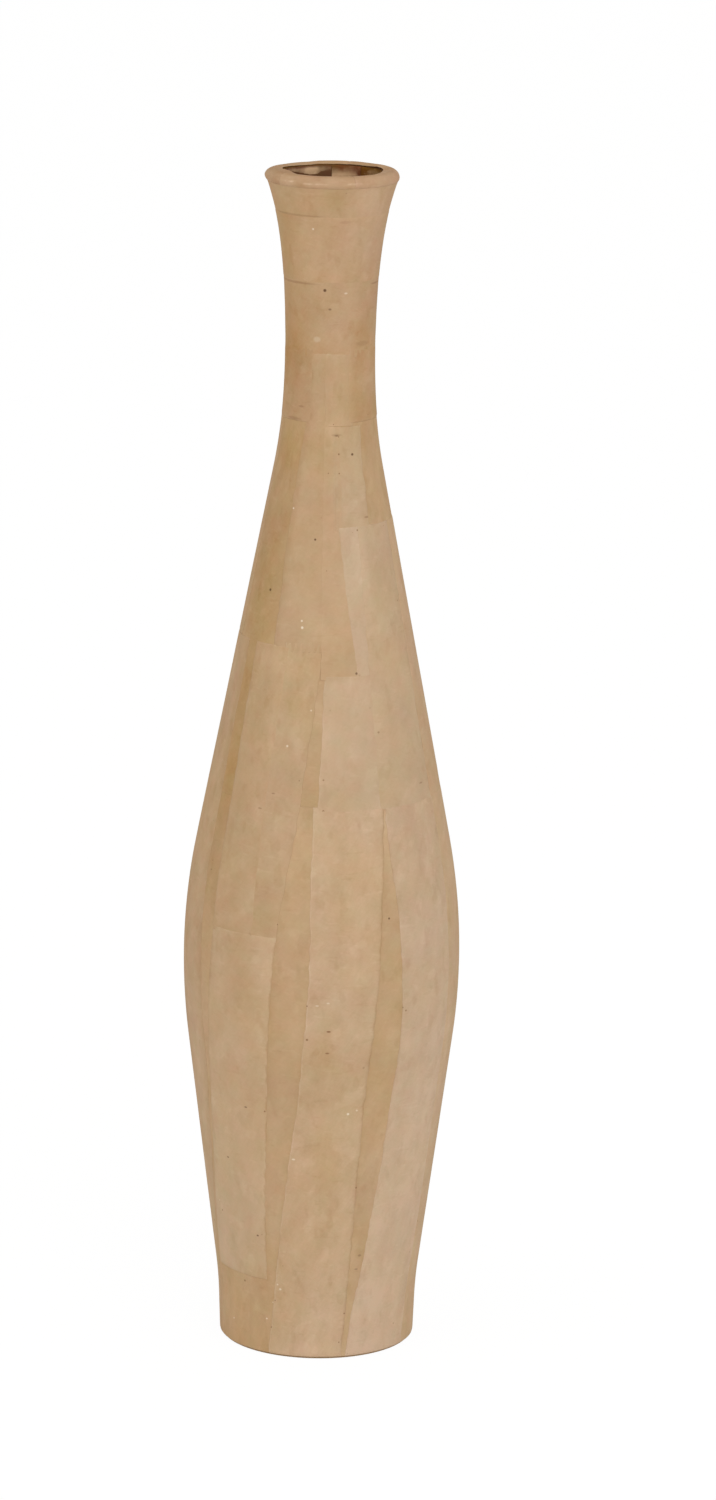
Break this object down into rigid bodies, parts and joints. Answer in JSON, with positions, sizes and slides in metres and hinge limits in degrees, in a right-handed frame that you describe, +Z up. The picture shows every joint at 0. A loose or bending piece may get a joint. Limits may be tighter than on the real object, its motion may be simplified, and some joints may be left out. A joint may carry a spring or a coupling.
{
  "type": "papier-mache vase",
  "caption": "Tall slender bottle vase in pasted kraft paper strips: round foot, swelling belly, long tapering shoulder, narrow neck and flared mouth with a fat rolled lip.",
  "frame": {"origin": "centre of the underside, on the surface the vase stands on", "axes": "+Z up along the vase's axis, -Y towards the viewer of the picture, +X to the viewer's right"},
  "size_m": [0.1034, 0.1036, 0.4449],
  "materials": {
    "kraft_paper": "matte pasted kraft paper, undyed",
    "under_paper": "matte pasted kraft paper, a shade more ochre",
    "scrap_paper": "matte paper scraps",
    "rolled_paper": "tightly rolled paper",
    "pulp_core": "rough moulded paper pulp",
    "base_card": "matte card"
  },
  "bodies": {
    "root": {"back_shoulder_strip_1": "kraft_paper", "back_shoulder_strip_2": "kraft_paper", "back_shoulder_strip_3": "kraft_paper", "back_strip_1": "kraft_paper", "back_strip_2": "kraft_paper", "back_strip_3": "kraft_paper", "back_strip_4": "kraft_paper", "base_cover_paper": "under_paper", "base_disc": "base_card", "core_half_left": "pulp_core", "core_half_right": "pulp_core", "front_bright_patch": "kraft_paper", "front_centre_patch": "kraft_paper", "front_centre_strip": "kraft_paper", "front_left_inner_strip": "kraft_paper", "front_left_low_strip": "kraft_paper", "front_left_shoulder_strip": "kraft_paper", "front_left_strip": "kraft_paper", "front_neck_patch": "kraft_paper", "front_right_neck_patch": "kraft_paper", "front_right_shoulder_strip": "kraft_paper", "front_right_strip": "kraft_paper", "front_shoulder_strip": "kraft_paper", "left_shoulder_strip": "kraft_paper", "left_side_strip": "kraft_paper", "lip_roll": "rolled_paper", "lip_wrap_1": "kraft_paper", "lip_wrap_2": "kraft_paper", "lip_wrap_3": "kraft_paper", "lip_wrap_4": "kraft_paper", "lip_wrap_5": "kraft_paper", "mouth_scrap_far_centre": "scrap_paper", "mouth_scrap_far_left": "scrap_paper", "mouth_scrap_far_right": "scrap_paper", "mouth_scrap_near": "scrap_paper", "neck_band_high": "kraft_paper", "neck_band_low": "kraft_paper", "neck_band_middle": "kraft_paper", "neck_band_mouth": "kraft_paper", "right_shoulder_strip": "kraft_paper", "right_side_strip": "kraft_paper", "under_strip_lower_1": "under_paper", "under_strip_lower_2": "under_paper", "under_strip_lower_3": "under_paper", "under_strip_lower_4": "under_paper", "under_strip_lower_5": "under_paper", "under_strip_lower_6": "under_paper", "under_strip_lower_7": "under_paper", "under_strip_lower_8": "under_paper", "under_strip_upper_1": "under_paper", "under_strip_upper_2": "under_paper", "under_strip_upper_3": "under_paper", "under_strip_upper_4": "under_paper", "under_strip_upper_5": "under_paper", "under_strip_upper_6": "under_paper", "under_wrap_neck_1": "under_paper", "under_wrap_neck_2": "under_paper", "under_wrap_neck_3": "under_paper"}
  },
  "joints": []
}
